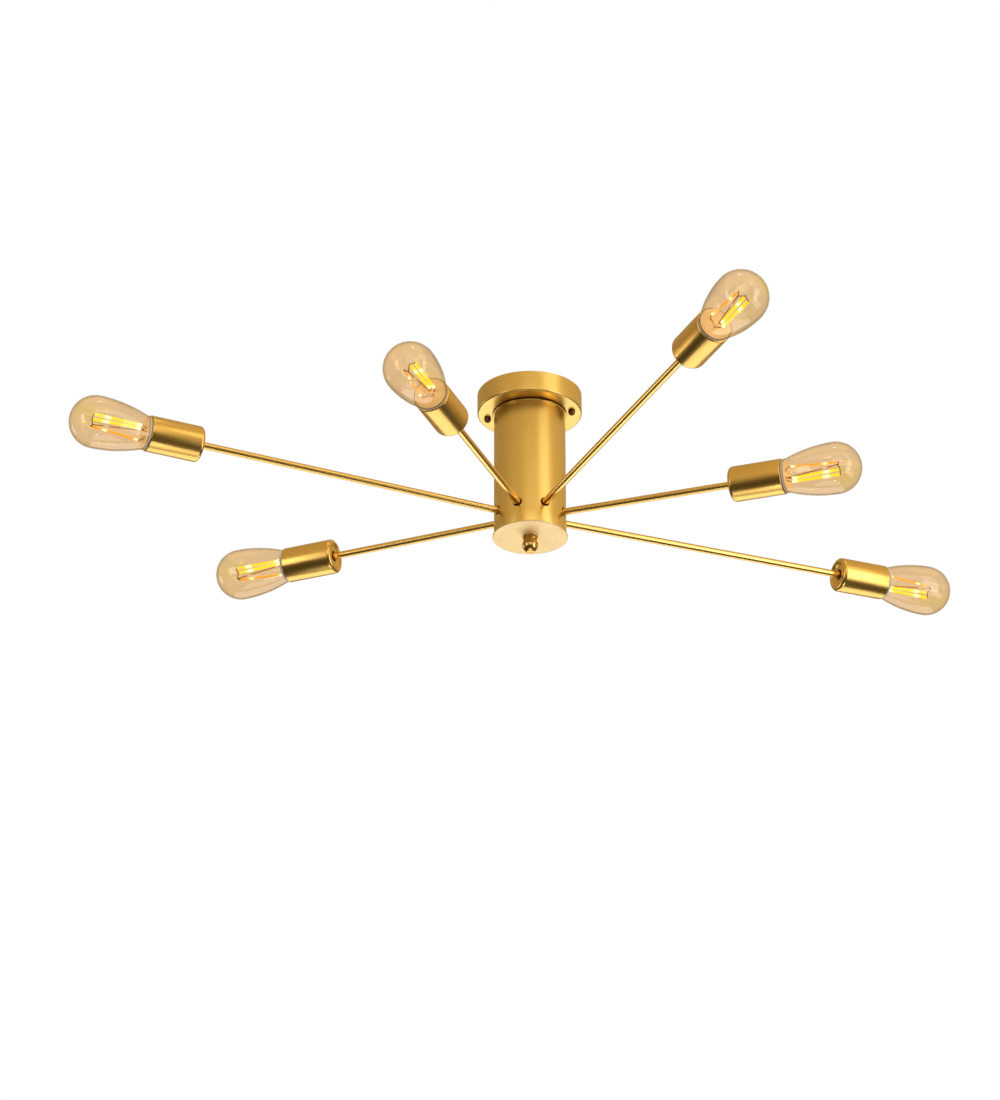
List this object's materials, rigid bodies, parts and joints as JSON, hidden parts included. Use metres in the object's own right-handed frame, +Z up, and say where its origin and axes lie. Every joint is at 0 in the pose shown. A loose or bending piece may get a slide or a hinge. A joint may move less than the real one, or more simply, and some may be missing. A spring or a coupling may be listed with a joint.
{
  "type": "semi-flush ceiling light",
  "caption": "Brass semi-flush ceiling light: round canopy, vertical column with ball finial, and long and short straight arms in turn, each with a lamp-holder cup and an amber filament bulb.",
  "frame": {"origin": "centre of the ceiling strip's top face, where the light meets the ceiling, on the column's axis", "axes": "+Z up towards the ceiling along the column; -Y the front, between the two front arms; +X to the right, seen from the front"},
  "size_m": [1.0112, 0.7318, 0.2006],
  "materials": {
    "satin_brass": "satin brushed gold lacquer, fine spun and drawn grain",
    "cover_brass": "pale satin gold, faint turned grain",
    "arm_brass": "drawn tube, brighter satin gold",
    "polished_brass": "turned and polished ball",
    "zinc_steel": "bright zinc plating",
    "dark_bronze": "dark bronzed screw head",
    "nickel_shell": "thin rolled nickel-plated shell",
    "holder_core": "white glazed lamp-holder insulator",
    "amber_glass": "clear amber-tinted glass, glossy",
    "filament_glow": "yellow phosphor-coated LED filament",
    "wire_insulation": "matt black insulation"
  },
  "bodies": {
    "root": {"ceiling_bracket": "zinc_steel", "canopy": "satin_brass", "canopy_screw_right": "dark_bronze", "canopy_screw_left": "dark_bronze", "top_plate": "satin_brass", "column_tube": "satin_brass", "arm_hub": "zinc_steel", "threaded_pipe": "zinc_steel", "pipe_nut": "zinc_steel", "wiring_harness": "wire_insulation", "arm_tube_1": "arm_brass", "socket_cup_1": "satin_brass", "socket_core_1": "holder_core", "socket_shell_1": "nickel_shell", "arm_tube_2": "arm_brass", "socket_cup_2": "satin_brass", "socket_core_2": "holder_core", "socket_shell_2": "nickel_shell", "arm_tube_3": "arm_brass", "socket_cup_3": "satin_brass", "socket_core_3": "holder_core", "socket_shell_3": "nickel_shell", "arm_tube_4": "arm_brass", "socket_cup_4": "satin_brass", "socket_core_4": "holder_core", "socket_shell_4": "nickel_shell", "arm_tube_5": "arm_brass", "socket_cup_5": "satin_brass", "socket_core_5": "holder_core", "socket_shell_5": "nickel_shell", "arm_tube_6": "arm_brass", "socket_cup_6": "satin_brass", "socket_core_6": "holder_core", "socket_shell_6": "nickel_shell"},
    "cover": {"bottom_cover": "cover_brass"},
    "finial": {"finial": "polished_brass"},
    "bulb_travel_1": {"bulb_contact_1": "nickel_shell"},
    "bulb_1": {"bulb_base_1": "nickel_shell", "bulb_glass_1": "amber_glass", "bulb_filament_1": "filament_glow"},
    "bulb_travel_2": {"bulb_contact_2": "nickel_shell"},
    "bulb_2": {"bulb_base_2": "nickel_shell", "bulb_glass_2": "amber_glass", "bulb_filament_2": "filament_glow"},
    "bulb_travel_3": {"bulb_contact_3": "nickel_shell"},
    "bulb_3": {"bulb_base_3": "nickel_shell", "bulb_glass_3": "amber_glass", "bulb_filament_3": "filament_glow"},
    "bulb_travel_4": {"bulb_contact_4": "nickel_shell"},
    "bulb_4": {"bulb_base_4": "nickel_shell", "bulb_glass_4": "amber_glass", "bulb_filament_4": "filament_glow"},
    "bulb_travel_5": {"bulb_contact_5": "nickel_shell"},
    "bulb_5": {"bulb_base_5": "nickel_shell", "bulb_glass_5": "amber_glass", "bulb_filament_5": "filament_glow"},
    "bulb_travel_6": {"bulb_contact_6": "nickel_shell"},
    "bulb_6": {"bulb_base_6": "nickel_shell", "bulb_glass_6": "amber_glass", "bulb_filament_6": "filament_glow"}
  },
  "joints": [
    {"name": "cover_drop", "type": "slide", "parent": "root", "child": "cover", "axis": [0, 0, -1], "range_m": [0, 0.01]},
    {"name": "finial_screw", "type": "hinge", "parent": "cover", "child": "finial", "pos_m": [0, 0, -0.1826], "axis": [0, 0, -1], "range_deg": [0, 3601]},
    {"name": "bulb_travel_slide_1", "type": "slide", "parent": "root", "child": "bulb_travel_1", "axis": [-0.9237, -0.3826, 0.0192], "range_m": [0, 0.02178]},
    {"name": "bulb_screw_1", "type": "hinge", "parent": "bulb_travel_1", "child": "bulb_1", "pos_m": [-0.36579, -0.15152, -0.149], "axis": [-0.9237, -0.3826, 0.0192], "range_deg": [0, 2161]},
    {"name": "bulb_travel_slide_2", "type": "slide", "parent": "root", "child": "bulb_travel_2", "axis": [-0.3826, -0.9238, 0.0157], "range_m": [0, 0.02178]},
    {"name": "bulb_screw_2", "type": "hinge", "parent": "bulb_travel_2", "child": "bulb_2", "pos_m": [-0.09145, -0.22078, -0.15285], "axis": [-0.3826, -0.9238, 0.0157], "range_deg": [0, 2161]},
    {"name": "bulb_travel_slide_3", "type": "slide", "parent": "root", "child": "bulb_travel_3", "axis": [0.3826, -0.9236, 0.0244], "range_m": [0, 0.02178]},
    {"name": "bulb_screw_3", "type": "hinge", "parent": "bulb_travel_3", "child": "bulb_3", "pos_m": [0.1515, -0.36575, -0.14693], "axis": [0.3826, -0.9236, 0.0244], "range_deg": [0, 2161]},
    {"name": "bulb_travel_slide_4", "type": "slide", "parent": "root", "child": "bulb_travel_4", "axis": [0.9238, -0.3827, -0.0105], "range_m": [0, 0.02178]},
    {"name": "bulb_screw_4", "type": "hinge", "parent": "bulb_travel_4", "child": "bulb_4", "pos_m": [0.22079, -0.09146, -0.1591], "axis": [0.9238, -0.3827, -0.0105], "range_deg": [0, 2161]},
    {"name": "bulb_travel_slide_5", "type": "slide", "parent": "root", "child": "bulb_travel_5", "axis": [0.9238, 0.3826, 0.0157], "range_m": [0, 0.02178]},
    {"name": "bulb_screw_5", "type": "hinge", "parent": "bulb_travel_5", "child": "bulb_5", "pos_m": [0.36581, 0.15152, -0.15038], "axis": [0.9238, 0.3826, 0.0157], "range_deg": [0, 2161]},
    {"name": "bulb_travel_slide_6", "type": "slide", "parent": "root", "child": "bulb_travel_6", "axis": [-0.9235, 0.3825, -0.0279], "range_m": [0, 0.02178]},
    {"name": "bulb_screw_6", "type": "hinge", "parent": "bulb_travel_6", "child": "bulb_6", "pos_m": [-0.22072, 0.09143, -0.16327], "axis": [-0.9235, 0.3825, -0.0279], "range_deg": [0, 2161]}
  ],
  "couplings": [
    {"joint": "finial_screw", "follows": "cover_drop", "rad_per_m": 6283.2},
    {"joint": "bulb_screw_1", "follows": "bulb_travel_slide_1", "rad_per_m": 1730.9},
    {"joint": "bulb_screw_2", "follows": "bulb_travel_slide_2", "rad_per_m": 1730.9},
    {"joint": "bulb_screw_3", "follows": "bulb_travel_slide_3", "rad_per_m": 1730.9},
    {"joint": "bulb_screw_4", "follows": "bulb_travel_slide_4", "rad_per_m": 1730.9},
    {"joint": "bulb_screw_5", "follows": "bulb_travel_slide_5", "rad_per_m": 1730.9},
    {"joint": "bulb_screw_6", "follows": "bulb_travel_slide_6", "rad_per_m": 1730.9}
  ]
}
